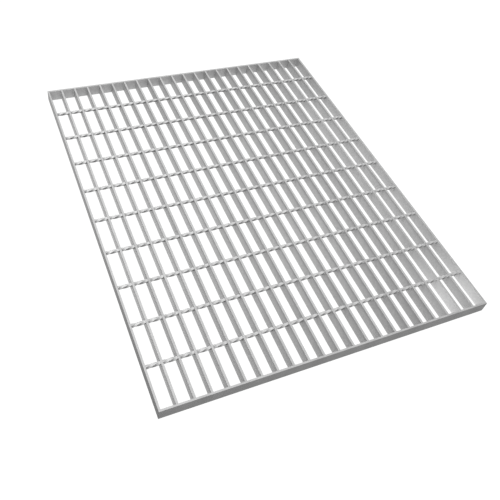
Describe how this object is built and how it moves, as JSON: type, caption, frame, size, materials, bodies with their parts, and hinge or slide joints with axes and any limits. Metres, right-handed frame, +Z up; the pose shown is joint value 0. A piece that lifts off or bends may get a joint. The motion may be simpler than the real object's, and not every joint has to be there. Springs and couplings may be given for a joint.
{
  "type": "steel grating panel",
  "caption": "Flat rectangular walkway grating of flat bearing bars on edge, twisted square cross rods let into their tops, and flat end bands.",
  "frame": {"origin": "middle of the panel's footprint, at the undersides of the bars", "axes": "+Y along the bearing bars, +X across them, +Z up through the tread face"},
  "size_m": [0.8, 1, 0.03],
  "materials": {
    "galvanised_steel": "hot-dip galvanised, matte grey"
  },
  "bodies": {
    "root": {"bar_grid": "galvanised_steel", "end_band_front": "galvanised_steel", "end_band_back": "galvanised_steel"}
  },
  "joints": []
}
